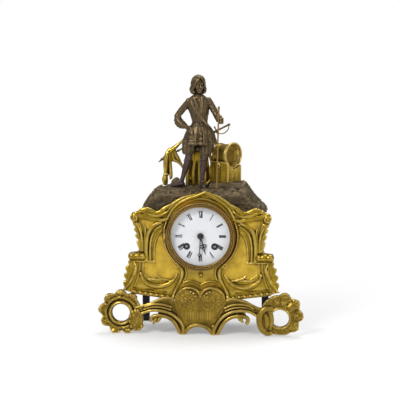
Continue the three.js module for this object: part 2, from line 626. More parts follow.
function gear(teeth, module, phase, y0, y1) {
  const radius = (teeth * module) / 2;
  const plan = Array.from({ length: 2 * teeth }, (_, i) => {
    const angle = phase + (Math.PI * i) / teeth;
    const reach = radius + module * (i % 2 ? -DEDENDUM : ADDENDUM);
    return [reach * Math.cos(angle), reach * Math.sin(angle)];
  });
  return slab(plan, y0, y1);
}

function meshedPhase(from, to, driver, driven) {
  const line = Math.atan2(to[1] - from[1], to[0] - from[0]);
  const pitch = (Math.PI * 2) / driven.teeth;
  const lead = ((driver.phase - line) * driver.teeth) / driven.teeth;
  return line + Math.PI - lead - pitch / 2;
}

// The point at given distances from two others, to the left of the line between them or to its right
function meet([px, pz], pr, [qx, qz], qr, side) {
  const dx = qx - px;
  const dz = qz - pz;
  const far = Math.hypot(dx, dz);
  const along = (pr * pr - qr * qr + far * far) / (2 * far);
  const off = side * Math.sqrt(pr * pr - along * along);
  return [px + (along * dx - off * dz) / far, pz + (along * dz + off * dx) / far];
}
const polar = ([x, z], radius, degrees) => {
  const angle = THREE.MathUtils.degToRad(degrees);
  return [x + radius * Math.cos(angle), z + radius * Math.sin(angle)];
};
const reach = (module, a, b) => (module * (a + b)) / 2;

const PLATE_BACK = PLATE_Y + PLATE_THICK;            // back of the front plate
const REAR_PLATE_Y = PLATE_BACK + PLATE_SPACE;
const REAR_PLATE_BACK = REAR_PLATE_Y + PLATE_THICK;

const MODULES = { barrel: 0.94, first: 0.74, centre: 0.66, third: 0.55, strike: 0.55, pin: 0.55 };
const TEETH = { barrel: 36, first: 36, centre: 40, third: 40, escape: 20, strike: 32, pin: 32, leaf: 8,
  cannon: 8, minute: 24, minuteLeaf: 7, hour: 28 };
const MOTION_REACH = 14.4;
const CENTRE = [0, 0];
const GOING = [WINDING_X, WINDING_Z];
const STRIKE = [-WINDING_X, WINDING_Z];
const ESCAPE_RADIUS = 6.2;
const ESCAPE = [0, 26.5];
const ANCHOR = [0, 35.5];
const FIRST = meet(CENTRE, reach(MODULES.first, TEETH.first, TEETH.leaf), GOING,
  reach(MODULES.barrel, TEETH.barrel, TEETH.leaf), 1);
const THIRD = meet(CENTRE, reach(MODULES.centre, TEETH.centre, TEETH.leaf), ESCAPE,
  reach(MODULES.third, TEETH.third, TEETH.leaf), 1);
const STRIKE_TURNS = { second: 106, pin: 72, fly: 62 };  // degrees of the lines between the strike's arbors
const SECOND = polar(STRIKE, reach(MODULES.barrel, TEETH.barrel, TEETH.leaf), STRIKE_TURNS.second);
const PIN = polar(SECOND, reach(MODULES.strike, TEETH.strike, TEETH.leaf), STRIKE_TURNS.pin);
const FLY = polar(PIN, reach(MODULES.pin, TEETH.pin, TEETH.leaf), STRIKE_TURNS.fly);
const MINUTE = [0, MOTION_REACH];

// Depths of the wheels, counted from the front plate's back
const DEPTHS = { centre: 1.4, first: 5.4, second: 8, third: 15.5, pin: 20.5, escape: 26.5 };
const CENTRE_Y = PLATE_BACK + DEPTHS.centre;
const FIRST_Y = PLATE_BACK + DEPTHS.first;
const SECOND_Y = PLATE_BACK + DEPTHS.second;
const RIM_Y = PLATE_BACK + BARREL_Y;
const THIRD_Y = PLATE_BACK + DEPTHS.third;
const PIN_Y = PLATE_BACK + DEPTHS.pin;
const ESCAPE_Y = PLATE_BACK + DEPTHS.escape;

// The phases follow from wheel to wheel
const phases = {};
phases.centrePinion = 0;
phases.firstWheel = meshedPhase(CENTRE, FIRST, { teeth: TEETH.leaf, phase: phases.centrePinion },
  { teeth: TEETH.first });
phases.firstPinion = 0;
phases.goingBarrel = meshedPhase(FIRST, GOING, { teeth: TEETH.leaf, phase: 0 }, { teeth: TEETH.barrel });
phases.centreWheel = 0;
phases.thirdPinion = meshedPhase(CENTRE, THIRD, { teeth: TEETH.centre, phase: 0 }, { teeth: TEETH.leaf });
phases.thirdWheel = 0;
phases.escapePinion = meshedPhase(THIRD, ESCAPE, { teeth: TEETH.third, phase: 0 }, { teeth: TEETH.leaf });
phases.strikeBarrel = 0;
phases.secondPinion = meshedPhase(STRIKE, SECOND, { teeth: TEETH.barrel, phase: 0 }, { teeth: TEETH.leaf });
phases.pinPinion = meshedPhase(SECOND, PIN, { teeth: TEETH.strike, phase: 0 }, { teeth: TEETH.leaf });
phases.flyPinion = meshedPhase(PIN, FLY, { teeth: TEETH.pin, phase: 0 }, { teeth: TEETH.leaf });
phases.minuteWheel = meshedPhase(CENTRE, MINUTE, { teeth: TEETH.cannon, phase: 0 },
  { teeth: TEETH.minute });
phases.hourWheel = meshedPhase(MINUTE, CENTRE, { teeth: TEETH.minuteLeaf, phase: 0 },
  { teeth: TEETH.hour });

const wheel = (teeth, module, phase, y) => gear(teeth, module, phase, y, y + WHEEL_THICK);
const pinion = (module, phase, y) => gear(TEETH.leaf, module, phase, y - (PINION_LONG - WHEEL_THICK) / 2,
  y + WHEEL_THICK + (PINION_LONG - WHEEL_THICK) / 2);
const arbor = (y0 = PLATE_Y + ARBOR_SET, y1 = REAR_PLATE_BACK - ARBOR_SET) => rod(ARBOR, y0, y1, 0, 0, 6);

const PIVOT_SIDES = 10;

function plate(y, holes, extra = []) {
  const bores = holes.map(([at, radius]) =>
    circle(radius + RUNNING, radius > ARBOR ? PIVOT_SIDES : 6, ...at));
  return join(slab(circle(PLATE_RADIUS, RIM), y, y + PLATE_THICK, bores), ...extra);
}
const PIVOTS = [FIRST, THIRD, ESCAPE, ANCHOR, SECOND, PIN, FLY, CENTRE].map((at) => [at, ARBOR]);
const WINDERS = [GOING, STRIKE].map((at) => [at, WINDING_ARBOR]);
const PILLARS = [[33, 20], [-33, 20], [12, -36], [-12, -36]];
const DIAL_FEET = [[35.5, 13], [-35.5, 13], [23, -31], [-23, -31]];
const HAMMER = [-19, -29];
const HAMMER_STEP = 19;      // hammer behind the back plate
const HAMMER_Y = REAR_PLATE_BACK + HAMMER_STEP;
const HAMMER_POST = ARBOR * 1.3;
const HAMMER_POST_END = 4.5; // post behind the hammer's face

const frontPlate = () => plate(PLATE_Y, [...PIVOTS, ...WINDERS],
  [rod(ARBOR, DIAL_FRONT + DIAL_THICK + PAST, PLATE_Y + PAST, ...MINUTE)]);
const backPlate = () => plate(REAR_PLATE_Y, [...PIVOTS, ...WINDERS],
  [rod(HAMMER_POST, REAR_PLATE_Y + PAST, HAMMER_Y + HAMMER_POST_END, ...HAMMER),
    ...PILLARS.map((at) => rod(PILLAR, PLATE_BACK + GAP, REAR_PLATE_Y + PAST, ...at, 6))]);

const BARREL_SIDES = 16;

function barrel(phase) {
  const end = RIM_Y + BARREL_HEIGHT;
  const bore = WINDING_ARBOR + RUNNING;
  const inner = BARREL_RADIUS - BARREL_WALL;
  const drum = turned([
    [bore, RIM_Y],
    [BARREL_RADIUS, RIM_Y],
    [BARREL_RADIUS, end],
    [bore, end],
    [bore, end - BARREL_WALL],
    [inner, end - BARREL_WALL],
    [inner, RIM_Y + BARREL_WALL],
    [bore, RIM_Y + BARREL_WALL],
  ], BARREL_SIDES);
  const rim = cut(gear(TEETH.barrel, MODULES.barrel, phase, RIM_Y + GAP, RIM_Y + 2 * WHEEL_THICK),
    rod(BARREL_RADIUS - BARREL_WALL / 2, RIM_Y - PAST, end, 0, 0, BARREL_SIDES));
  return join(drum, rim);
}

const INSIDE_BARREL = [RIM_Y + BARREL_WALL + GAP, RIM_Y + BARREL_HEIGHT - BARREL_WALL - GAP];
const SPRING = { turns: 2.5, stepsPerTurn: 10, thick: 0.9, inner: 2.4, outer: 1.2 };

function mainspring() {
  const inner = WINDING_ARBOR + SPRING.inner;
  const outer = BARREL_RADIUS - BARREL_WALL - SPRING.outer;
  const steps = SPRING.stepsPerTurn * SPRING.turns;
  const side = (thick) => Array.from({ length: steps + 1 }, (_, i) => {
    const angle = (2 * Math.PI * SPRING.turns * i) / steps;
    const radius = inner + ((outer - inner) * i) / steps + thick;
    return [radius * Math.cos(angle), radius * Math.sin(angle)];
  });
  return slab([...side(SPRING.thick), ...side(0).reverse()], ...INSIDE_BARREL);
}

const RATCHET = { teeth: 12, tip: 7.2, root: 6.2, lean: 0.7, thick: 1.4 };
const WINDING_SQUARE = WINDING_ARBOR * 0.7;          // half width of the square for the key
const WINDING_HUB = 1.2;     // spring's hub round the arbor
const SQUARE_PROUD = 0.5;    // square before the dial
const WINDING_FRONT = 3;     // round part of the arbor before the front plate

function windingArbor() {
  const half = WINDING_SQUARE;
  const ratchet = Array.from({ length: 2 * RATCHET.teeth }, (_, i) => {
    const angle = (Math.PI * (i - (i % 2) * RATCHET.lean)) / RATCHET.teeth;
    const radius = i % 2 ? RATCHET.tip : RATCHET.root;
    return [radius * Math.cos(angle), radius * Math.sin(angle)];
  });
  return join(rod(WINDING_ARBOR, PLATE_Y - WINDING_FRONT, REAR_PLATE_BACK - ARBOR_SET),
    box(-half, half, DIAL_FRONT - SQUARE_PROUD, PLATE_Y, -half, half),
    slab(ratchet, PLATE_Y - GAP - RATCHET.thick, PLATE_Y - GAP),
    rod(WINDING_ARBOR + WINDING_HUB, ...INSIDE_BARREL));
}

const firstWheel = () => join(arbor(),
  wheel(TEETH.first, MODULES.first, phases.firstWheel, FIRST_Y),
  pinion(MODULES.barrel, phases.firstPinion, RIM_Y + WHEEL_THICK / 2));
const centreWheel = () => join(arbor(HAND_END),
  wheel(TEETH.centre, MODULES.centre, phases.centreWheel, CENTRE_Y),
  pinion(MODULES.first, phases.centrePinion, FIRST_Y));
const thirdWheel = () => join(arbor(),
  wheel(TEETH.third, MODULES.third, phases.thirdWheel, THIRD_Y),
  pinion(MODULES.centre, phases.thirdPinion, CENTRE_Y));

const ESCAPE_LEAN = 0.6;     // of half a tooth
const ESCAPE_ROOT = 0.8;     // of the tips' radius

function escapeWheel() {
  const plan = Array.from({ length: 2 * TEETH.escape }, (_, i) => {
    const angle = (Math.PI * (i + (i % 2) * ESCAPE_LEAN)) / TEETH.escape;
    const radius = i % 2 ? ESCAPE_RADIUS : ESCAPE_RADIUS * ESCAPE_ROOT;
    return [radius * Math.cos(angle), radius * Math.sin(angle)];
  });
  return join(arbor(), slab(plan, ESCAPE_Y, ESCAPE_Y + WHEEL_THICK),
    pinion(MODULES.third, phases.escapePinion, THIRD_Y));
}

const COUNT = { step: 1, arbor: 3, radius: 11, notches: 6, notchDeep: 1.5, notchHalf: 0.6 };
const COUNT_Y = REAR_PLATE_BACK + COUNT.step;
const secondWheel = () => join(arbor(undefined, COUNT_Y + COUNT.arbor),
  wheel(TEETH.strike, MODULES.strike, 0, SECOND_Y),
  pinion(MODULES.barrel, phases.secondPinion, RIM_Y + WHEEL_THICK / 2));

function countWheel() {
  const { radius, notches, notchDeep, notchHalf } = COUNT;
  const disc = slab(circle(radius, RIM), COUNT_Y, COUNT_Y + WHEEL_THICK,
    [circle(ARBOR + GAP, PIVOT_SIDES)]);
  const notch = box(radius - notchDeep, radius + 2 * PAST, COUNT_Y - PAST, COUNT_Y + COUNT.arbor,
    -notchHalf, notchHalf);
  const gaps = Array.from({ length: notches }, (_, i) => {
    const angle = (2 * Math.PI * (i * (i + 1))) / (notches * (notches + 1));
    return notch.rotate([0, THREE.MathUtils.radToDeg(-angle), 0]);
  });
  return cut(disc, ...gaps);
}

const PINS = { count: 6, circle: 6.5, radius: 0.6, root: 0.5, long: 4 };

function pinWheel() {
  const step = 360 / PINS.count;
  const pins = Array.from({ length: PINS.count }, (_, i) => polar(CENTRE, PINS.circle, step * i));
  return join(arbor(), wheel(TEETH.pin, MODULES.pin, 0, PIN_Y),
    pinion(MODULES.strike, phases.pinPinion, SECOND_Y),
    ...pins.map((at) => rod(PINS.radius, PIN_Y + PINS.root, PIN_Y + PINS.long, ...at, 4)));
}

const VANE = { half: 5, front: 2, back: 12, thin: 0.4 };
const fly = () => join(arbor(), pinion(MODULES.pin, phases.flyPinion, PIN_Y),
  box(-VANE.half, VANE.half, PLATE_BACK + VANE.front, PLATE_BACK + VANE.back, -VANE.thin, VANE.thin));

// Motion work and hands, between the front plate and the glass
const CANNON_LEAF = 1.5;     // length of the cannon pinion's leaves
const HOUR_STEP = 1.9;       // hour wheel before the cannon pinion's leaves
const HAND_STEPS = { end: 5.5, minute: 3.9, hour: 2.2 };  // arbor's end and hands before the dial
const CANNON_Y = PLATE_Y - GAP - CANNON_LEAF;
const HOUR_Y = CANNON_Y - HOUR_STEP;
const HAND_END = DIAL_FRONT - HAND_STEPS.end;
const MINUTE_HAND_Y = DIAL_FRONT - HAND_STEPS.minute;
const HOUR_HAND_Y = DIAL_FRONT - HAND_STEPS.hour;
const HAND_THICK = 0.8;
const PIPE = { cannonIn: ARBOR + RUNNING, cannonOut: 1.85, hourIn: 2.15, hourOut: 2.8 };
const PIPE_CUT = DIAL_FRONT - 9;                     // cutters of the pipes start here
const CANNON_MODULE = (2 * MOTION_REACH) / (TEETH.cannon + TEETH.minute);
const HOUR_MODULE = (2 * MOTION_REACH) / (TEETH.minuteLeaf + TEETH.hour);
const LEAF_ENDS = { front: 0.4, back: 0.5 };         // minute wheel's leaves past the wheels beside them

function cannonPinion() {
  const front = MINUTE_HAND_Y + HAND_THICK + GAP;
  const back = PLATE_Y - GAP;
  const { cannonIn, cannonOut } = PIPE;
  const pipe = [[cannonIn, front], [cannonOut, front], [cannonOut, back], [cannonIn, back]];
  const leaves = gear(TEETH.cannon, CANNON_MODULE, 0, CANNON_Y, CANNON_Y + CANNON_LEAF);
  return cut(join(turned(pipe, BORE), leaves), rod(cannonIn, PIPE_CUT, PLATE_Y + PAST, 0, 0, BORE));
}

function minuteWheel() {
  const wide = wheel(TEETH.minute, CANNON_MODULE, phases.minuteWheel, CANNON_Y);
  const leaves = gear(TEETH.minuteLeaf, HOUR_MODULE, 0, HOUR_Y - LEAF_ENDS.front,
    CANNON_Y + LEAF_ENDS.back);
  return cut(join(wide, leaves), rod(ARBOR + RUNNING, DIAL_FRONT, PLATE_Y, 0, 0, PIVOT_SIDES));
}

function hourWheel() {
  const back = HOUR_Y + WHEEL_THICK;
  const ends = [[PIPE.hourIn, HOUR_HAND_Y], [PIPE.hourOut, HOUR_HAND_Y], [PIPE.hourOut, back],
    [PIPE.hourIn, back]];
  const disc = wheel(TEETH.hour, HOUR_MODULE, phases.hourWheel, HOUR_Y);
  return cut(join(disc, turned(ends, BORE)), rod(PIPE.hourIn, PIPE_CUT, PLATE_Y, 0, 0, BORE));
}

// A hand points to twelve and is turned to its rest angle afterwards
const HUB_SIDES = 16;
const LOOP_SIDES = 10;

function hand(y, bore, parts) {
  const blade = (plan) => slab(plan, y, y + HAND_THICK);
  const loops = parts.loops.map(([x, z, outer, inner]) =>
    slab(circle(outer, LOOP_SIDES, x, z), y, y + HAND_THICK, [circle(inner, SMALL, x, z)]));
  const hub = blade(circle(parts.hub, HUB_SIDES));
  const hole = rod(bore, y - PAST, y + HAND_THICK + PAST, 0, 0, BORE);
  return cut(join(hub, ...parts.blades.map(blade), ...loops), hole);
}
const STEM_TAPER = 0.7;
const stem = (z0, z1, half) => [[-half, z0], [half, z0], [half * STEM_TAPER, z1], [-half * STEM_TAPER, z1]];

// A hand's blades are plans, and its loops are x, z, outer radius and inner radius
const MINUTE_PARTS = {
  hub: 4.6,
  blades: [stem(3, 25, 0.8), [[-1.3, 29], [1.3, 29], [0.5, 35], [0, 38], [-0.5, 35]]],
  loops: [[0, 26.8, 2.6, 1.5]],
};
const HOUR_PARTS = {
  hub: 4.8,
  blades: [stem(4, 15.5, 0.9), [[-1, 20], [1, 20], [0, 28]]],
  loops: [[-2.4, 15, 2.7, 1.7], [2.4, 15, 2.7, 1.7], [0, 18.8, 2.4, 1.4]],
};
const minuteHand = () => hand(MINUTE_HAND_Y, ARBOR + RUNNING, MINUTE_PARTS);
const hourHand = () => hand(HOUR_HAND_Y, PIPE.hourOut + GAP, HOUR_PARTS);
const COLLET = { foot: 2.8, top: 2, high: 1.4 };

function handCollet() {
  const bore = ARBOR + RUNNING;
  const foot = MINUTE_HAND_Y - GAP;
  const top = MINUTE_HAND_Y - COLLET.high;
  return turned([[bore, foot], [COLLET.foot, foot], [COLLET.top, top], [bore, top]], BORE);
}

// Escapement and pendulum
const AXIS_RISE = 1;         // pendulum's axis over the anchor's, and the cock over both
const PENDULUM_AXIS = [0, ANCHOR[1] + AXIS_RISE];
const ROD_Y = REAR_PLATE_BACK + PENDULUM_Y;
const CRUTCH = { step: 3, hub: 1.5, thick: 1.2, half: 0.9, long: 24, foot: 22, forkHalf: 2.9, prong: 2.2,
  prongHalf: 0.7 };
const CRUTCH_Y = REAR_PLATE_BACK + CRUTCH.step;
const COCK_Z = PENDULUM_AXIS[1] + AXIS_RISE;
const PALLET = { clear: 1, spread: 50, thick: 1.6, rise: 0.6, outer: [6.6, -2.2], inner: [4.4, -2.4],
  top: 1.8, under: -1.4 };

function palletAnchor() {
  const { outer, inner } = PALLET;
  const pallet = (s) => {
    const [x, z] = polar(ESCAPE, ESCAPE_RADIUS + PALLET.clear, 90 - s * PALLET.spread);
    const tip = [[x + s * PALLET.thick, z + PALLET.rise - ANCHOR[1]], [x, z - ANCHOR[1]]];
    return [[0, PALLET.top], [s * outer[0], outer[1]], ...tip, [s * inner[0], inner[1]], [0, PALLET.under]];
  };
  const pallets = [-1, 1].map((s) => slab(pallet(s), ESCAPE_Y, ESCAPE_Y + WHEEL_THICK));
  const { half, forkHalf, prong, prongHalf } = CRUTCH;
  const flat = [CRUTCH_Y, CRUTCH_Y + CRUTCH.thick, -CRUTCH.long];
  const prongs = [-1, 1].map((s) => box(s * prong - prongHalf, s * prong + prongHalf,
    CRUTCH_Y, ROD_Y + CRUTCH.hub, -CRUTCH.long, -CRUTCH.foot));
  return join(rod(ARBOR, PLATE_Y + ARBOR_SET, CRUTCH_Y + CRUTCH.hub), ...pallets,
    box(-half, half, ...flat, 0), box(-forkHalf, forkHalf, ...flat, -CRUTCH.foot), ...prongs);
}

const COCK = { half: 5, cheek: 3.2, back: 3, foot: 2, drop: 5 };

function suspensionCock() {
  const top = PLATE_RADIUS - GAP;
  const front = REAR_PLATE_BACK + GAP;
  const foot = [front, REAR_PLATE_BACK + COCK.foot, ANCHOR[1] - COCK.drop, top];
  return join(box(-COCK.half, COCK.half, front, ROD_Y + COCK.back, COCK_Z, top),
    box(-COCK.half, -COCK.cheek, ...foot), box(COCK.cheek, COCK.half, ...foot));
}

// The pendulum's pieces are drawn below its axis
const BOB_Z = -PENDULUM_LONG;
const PENDULUM = { spring: [1.6, 0.3, 5], clip: [1.8, 1, 8, 4.5], rod: 1, rodTop: 7, tail: 8 };
// Shares of the bob's radius, and depths
const BOB_LINE = [[0, -3.6], [0.6, -2.8], [1, -0.6], [1, 0.6], [0.6, 2.8], [0, 3.6]];
const BOB_SIDES = 20;
const NUT = { radius: 3.2, low: 3.4 };

function pendulumRod() {
  const [springHalf, springThin, springLong] = PENDULUM.spring;
  const [clipHalf, clipThin, clipLow, clipTop] = PENDULUM.clip;
  const springTop = COCK_Z - PENDULUM_AXIS[1] - GAP;
  return join(box(-springHalf, springHalf, -springThin, springThin, -springLong, springTop),
    box(-clipHalf, clipHalf, -clipThin, clipThin, -clipLow, -clipTop),
    upright(PENDULUM.rod, BOB_Z - BOB_RADIUS - PENDULUM.tail, -PENDULUM.rodTop, 0, 0));
}
const rodHole = (top) => upright(PENDULUM.rod + RUNNING, BOB_Z - 2 * BOB_RADIUS, top, 0, 0);

function pendulumBob() {
  const lens = turned(BOB_LINE.map(([share, y]) => [share * BOB_RADIUS, y]), BOB_SIDES);
  return cut(lens.translate([0, 0, BOB_Z]), rodHole(BOB_Z + 2 * BOB_RADIUS));
}

function ratingNut() {
  const top = BOB_Z - BOB_RADIUS;
  return cut(upright(NUT.radius, top - NUT.low, top - GAP, 0, 0, BORE), rodHole(BOB_Z));
}

// Bell, its stand and the hammer, behind the back plate
const BELL_STEP = 17;        // bell's mouth behind the back plate
const BELL_Y = REAR_PLATE_BACK + BELL_STEP;
const BELL_DEEP = 20;
const BELL_LINE = [[1, 0], [0.93, 0.5], [0.72, 0.85], [0.35, 1]];  // shares of its radius and depth
const BELL_WALL = { side: 2, top: 1.8 };
const BELL_SIDES = 18;
const STAND = { radius: 2, flange: 4, foot: 2, seat: 4, end: 1.5 };

function bell() {
  const outer = BELL_LINE.map(([share, deep]) => [BELL_RADIUS * share, BELL_Y + BELL_DEEP * deep]);
  const thinned = ([radius, y]) => [radius - BELL_WALL.side, y - (y > BELL_Y ? BELL_WALL.top : 0)];
  const inner = outer.map(thinned).reverse();
  const bore = STAND.radius + GAP;
  const top = BELL_Y + BELL_DEEP;
  return turned([...outer, [bore, top], [bore, top - BELL_WALL.top], ...inner], BELL_SIDES);
}

function bellStand() {
  const foot = REAR_PLATE_BACK + GAP;
  const top = BELL_Y + BELL_DEEP;
  return join(rod(STAND.radius, foot, top + STAND.end),
    rod(STAND.flange, foot, REAR_PLATE_BACK + STAND.foot, 0, 0, PIVOT_SIDES),
    rod(STAND.flange, top - STAND.seat, top - BELL_WALL.top - GAP));
}

const HAMMER_PARTS = { nose: 2.2, clear: 0.5, hub: 2.8, front: 1, back: 3, bend: 1, arm: [1, 0.9, 0.9] };

function hammer() {
  const { nose, clear, hub, front, back, bend } = HAMMER_PARTS;
  const [x, z] = [BELL_X - BELL_RADIUS - nose - clear - HAMMER[0], BELL_Z - HAMMER[1]];
  const middle = HAMMER_Y + (back - front) / 2;
  const arm = tube([[0, middle, 0], [x / 2 - bend, middle, z / 2], [x, middle, z]], HAMMER_PARTS.arm);
  const ends = [HAMMER_Y - front, HAMMER_Y + back];
  const bore = rod(HAMMER_POST + RUNNING, HAMMER_Y - 2 * back, HAMMER_Y + 2 * back);
  return cut(join(rod(hub, ...ends), arm, rod(nose, ...ends, x, z)), bore);
}

// Bronzed rock: sections from front to back over the case's shoulders and arch.
// Its outline is in shares of the shoulders' half width and of the rock's height, round from the left.
const ROCK_LEFT = [[-0.94, 0], [-0.89, 0.25], [-0.83, 0.54], [-0.75, 0.85], [-0.67, 0.95], [-0.5, 1],
  [-0.21, 1], [0.08, 1]];
const ROCK_LEDGE = [0.115, 0.42, 0.6];
const ROCK_RIGHT = [[0.7, 0.92], [0.765, 0.62], [0.835, 0.43], [0.94, 0.24], [0.98, 0], [0.98, -0.7],
  [-0.94, -0.7]];
const ROCK_SMOOTH = 0.62;    // rough outside this share of the half width
const ROCK_FOOT = 0.1;       // below this share of the height the rock keeps its outline

function rockMound() {
  const high = ROCK_TOP - SHOULDER_Z;
  const slope = (points) => points.map(([x, share]) => [x * SHOULDER_HALF, SHOULDER_Z + share * high]);
  const ledge = ROCK_LEDGE.map((share) => [share * SHOULDER_HALF, ROCK_TOP + LEDGE]);
  const line = [...slope(ROCK_LEFT), ...ledge, ...slope(ROCK_RIGHT)];
  const front = FRONT_Y + FRONT_WALL + GAP;
  const ledgeY = FIGURE_Y + CHEST.y - Math.hypot(CHEST.wide, CHEST.deep) / 2 - LEDGE_RIM;
  const sections = [[front, 2 / 3], [front + ROCK_ROUND / 2, 0], [ledgeY - LEDGE_RIM, 0], [ledgeY, 0],
    [BACK_Y - 1.3 * ROCK_ROUND, 0], [BACK_Y - ROCK_ROUND / 3, 1 / 2], [BACK_Y, 1]];
  const ring = ([y, share], k) => line.map(([x, z], i) => {
    if (z < SHOULDER_Z + ROCK_FOOT * high) return [x, y, z];
    const drop = share * ROCK_ROUND;
    const height = y < ledgeY ? Math.min(z, ROCK_TOP) : z;
    const rough = Math.abs(x) > ROCK_SMOOTH * SHOULDER_HALF ? ROCK_ROUGH * Math.sin(5 * i + 2.3 * k) : 0;
    return [x * (1 - drop / (2 * SHOULDER_HALF)), y, height - drop + rough];
  });
  const below = SHOULDER_Z - 2 * high;
  const seat = slab(casePlan(-GAP, below), front - PAST, BACK_Y + 2 * PAST);
  const bolts = [-1, 1].map((s) =>
    upright(BOLT.radius + GAP, below, SHOULDER_Z + BOLT.reach + GAP, s * BOLT.x, BOLT.y));
  const boulderAt = [FIGURE_X + BOULDER.x, FIGURE_Y + BOULDER.y, ROCK_TOP];
  const boulder = lump(boulderAt, [BOULDER.wide, BOULDER.deep, BOULDER.high]);
  const rest = box(-LOWER_HALF, LOWER_HALF, front - PAST, BACK_Y + 2 * PAST, below, SHOULDER_Z + GAP);
  return cut(join(skin(sections.map(ring)), boulder), seat, ...bolts, rest);
}

// The cavalier, drawn from the soles up and about the figure's own axis.
// A row is an oval: x, y, z, half width, half depth.
const TORSO = [
  [-0.5, 0, 86, 13.5, 9.8],
  [-0.5, 0, 93, 12.3, 8.8],
  [-1.2, 0, 104, 13.4, 9.4],
  [-2.4, 0.3, 116, 15.8, 10],
  [-3, 0.5, 124, 16.4, 9.6],
  [-2.9, 0.5, 130, 13.2, 8],
  [-2.7, 0, 135.5, 6.4, 5.6],
];
const COAT_SKIRT = [
  [-0.3, 1, 63, 24.4, 17],
  [-0.3, 1, 70, 23.2, 16.2],
  [-0.3, 0.6, 78, 21.4, 15],
  [-0.4, 0.3, 85, 19, 13.4],
  [-0.5, 0, 89.5, 16, 11.4],
  [-0.5, 0, 92.5, 12.8, 9.2],
];
const BREECH = [
  [-1, 0, 50.5, 9.8, 9],
  [-0.8, 0, 53.5, 9.2, 8.6],
  [0, 0, 60, 10.2, 9.4],
  [0.8, 0, 67, 10, 9.4],
];
const BREECH_PLACES = [[-16.5, -1], [9.5, -2]];
const NECK = [[-2.6, -0.5, 132, 5, 4.8], [-3, -2, 142, 4.6, 4.6]];
const BODY_SIDES = 12;
const SKIRT_SIDES = 16;

// Limbs: a smooth line of x, y, z points and the radii along it
const BENT_ARM = {
  line: [[-16.5, 0.5, 124], [-27, 3, 113.5], [-33.6, 3.4, 103], [-29, 0.8, 94.5], [-18.5, -4.5, 88]],
  radii: [5.4, 4.8, 4.9, 5.8, 3.8],
};
const CANE_ARM = {
  line: [[12, 0.5, 125], [18.5, -1.5, 115.5], [23.5, -5, 107], [29.5, -12.5, 99.5]],
  radii: [5.4, 4.9, 4.6, 4.4],
};
const STRIDING_LEG = {
  line: [[-16, -1, 56], [-17.8, -1.5, 44], [-20.5, -0.3, 32], [-25.2, 0.4, 17], [-27.6, 0.2, 6]],
  radii: [5.6, 4.8, 5.1, 3.2, 3.8],
};
const STANDING_LEG = {
  line: [[7.5, -2, 56], [5.6, -3, 44], [4.5, -1.6, 32], [3.2, -1.8, 17], [3.6, -2, 6]],
  radii: [5.6, 4.8, 4.9, 3.2, 3.8],
};
const STRIDING_SHOE = { line: [[-26, 1, 4], [-33, -2, 3.8], [-42, -6, 2.8]], radii: [4, 4.4, 2.5] };
const STANDING_SHOE = { line: [[3.6, 1, 4], [4.8, -6, 3.8], [6.6, -15, 2.8]], radii: [4, 4.4, 2.5] };
const LIMBS = [BENT_ARM, CANE_ARM, STRIDING_LEG, STANDING_LEG, STRIDING_SHOE, STANDING_SHOE];

// Lumps: a middle and three half sizes
const HEAD = [[-2.6, -2.6, 149.5], [7.4, 8.2, 10.5]];
const HAIR = [[-3, 0, 149.5], [11.4, 9.6, 13.5]];
const FACE_ROOM = [[-1, -12.5, 145], [7, 8, 12]];
const CUFF = [[-31.5, 1.5, 93.5], [6.6, 6, 6.6]];
const FIST = [[30.6, -15.2, 98.8], [4.5, 4.4, 6]];
const SHOULDER_WINGS = [[[-18.2, 0.5, 126.6], [2.8, 4, 2.8]], [[12.3, 0.7, 128.3], [2.8, 4, 2.9]]];

function bodyOf(rows, sides = BODY_SIDES) {
  return skin(rows.map(([x, y, z, wide, deep]) => oval([x, y, z], wide, deep, sides)));
}
const CANE = { top: [28.4, -19.5, 118], foot: [25.4, -19.5, GAP], knob: [1.9, 1.9, 1.9] };
const SWORD = {
  pommel: [41, 10.3, 91],
  guard: [22, 15.3, 81],
  tip: [-39, 24.3, 48.5],
  bow: [[39, 10.8, 83], [32, 12.8, 78]],
  cross: [[20, 15.3, 86], [24, 15.3, 76]],
  blade: [1.4, 1.5, 1.3],
  bowRadii: [0.8, 0.8],
  crossRadii: [1, 1],
  knob: [2, 2, 2],
};

const lump = (centre, half) => ball(centre, half, 10, 7);

function drawFigure() {
  const breeches = BREECH_PLACES.map(([x, y]) => bodyOf(BREECH).translate([x, y, 0]));
  const limbs = LIMBS.map(({ line, radii }) => tube(line, radii, { sides: SMALL, steps: 2 * line.length }));
  const hair = cut(lump(...HAIR), lump(...FACE_ROOM));
  const wings = SHOULDER_WINGS.map((wing) => lump(...wing));
  const lumps = [lump(...HEAD), hair, lump(...CUFF), lump(...FIST), ...wings];
  return join(bodyOf(TORSO), bodyOf(COAT_SKIRT, SKIRT_SIDES), bodyOf(NECK), ...breeches, ...limbs, ...lumps);
}
const drawnFigure = drawFigure();
const FIGURE_SCALE = FIGURE_HIGH / drawnFigure.boundingBox().max[2];
const sized = (shape) => shape.scale(FIGURE_SCALE);
const caneRod = (grow) => tube([CANE.top, CANE.foot], [CANE_RADIUS + grow, CANE_RADIUS + grow],
  { steps: 1, sides: 6 });

function figure() {
  const below = box(-FIGURE_HIGH, FIGURE_HIGH, -FIGURE_HIGH, FIGURE_HIGH, -FIGURE_HIGH, GAP);
  return cut(sized(cut(drawnFigure, caneRod(GAP))), below);
}

const cane = () => sized(join(caneRod(0), ball(CANE.top, CANE.knob, 6, 4)));

function sword() {
  const { pommel, guard, tip } = SWORD;
  const blade = tube([pommel, guard, tip], SWORD.blade, { steps: 2 });
  const bow = tube([pommel, ...SWORD.bow, guard], SWORD.bowRadii, { sides: 5, steps: 5 });
  const cross = tube([SWORD.cross[0], guard, SWORD.cross[1]], SWORD.crossRadii, { sides: 5, steps: 2 });
  return sized(join(blade, ball(pommel, SWORD.knob), bow, cross));
}

